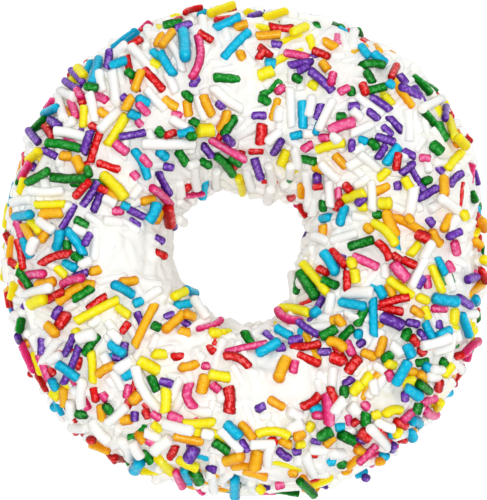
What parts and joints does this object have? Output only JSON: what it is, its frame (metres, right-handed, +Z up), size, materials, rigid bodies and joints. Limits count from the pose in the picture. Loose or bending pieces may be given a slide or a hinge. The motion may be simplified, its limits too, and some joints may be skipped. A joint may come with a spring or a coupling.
{
  "type": "sprinkle frosted doughnut",
  "caption": "Ring doughnut with a flat underside, thick pale icing over its top and sides, and a dense coat of coloured sugar sprinkles.",
  "frame": {"origin": "middle of the footprint, on the rest face under the dough", "axes": "+Z up along the hole, out of the iced top; +Y towards the thick side of the ring, away from where the hole sits; +X to its right, seen from above"},
  "size_m": [0.083, 0.0848, 0.0296],
  "materials": {
    "dough": "matte",
    "icing": "satin",
    "sprinkle_white": "satin",
    "sprinkle_red": "satin",
    "sprinkle_orange": "satin",
    "sprinkle_yellow": "satin",
    "sprinkle_green": "satin",
    "sprinkle_blue": "satin",
    "sprinkle_purple": "satin",
    "sprinkle_pink": "satin"
  },
  "bodies": {
    "root": {"dough_ring": "dough", "icing": "icing"}
  },
  "joints": []
}
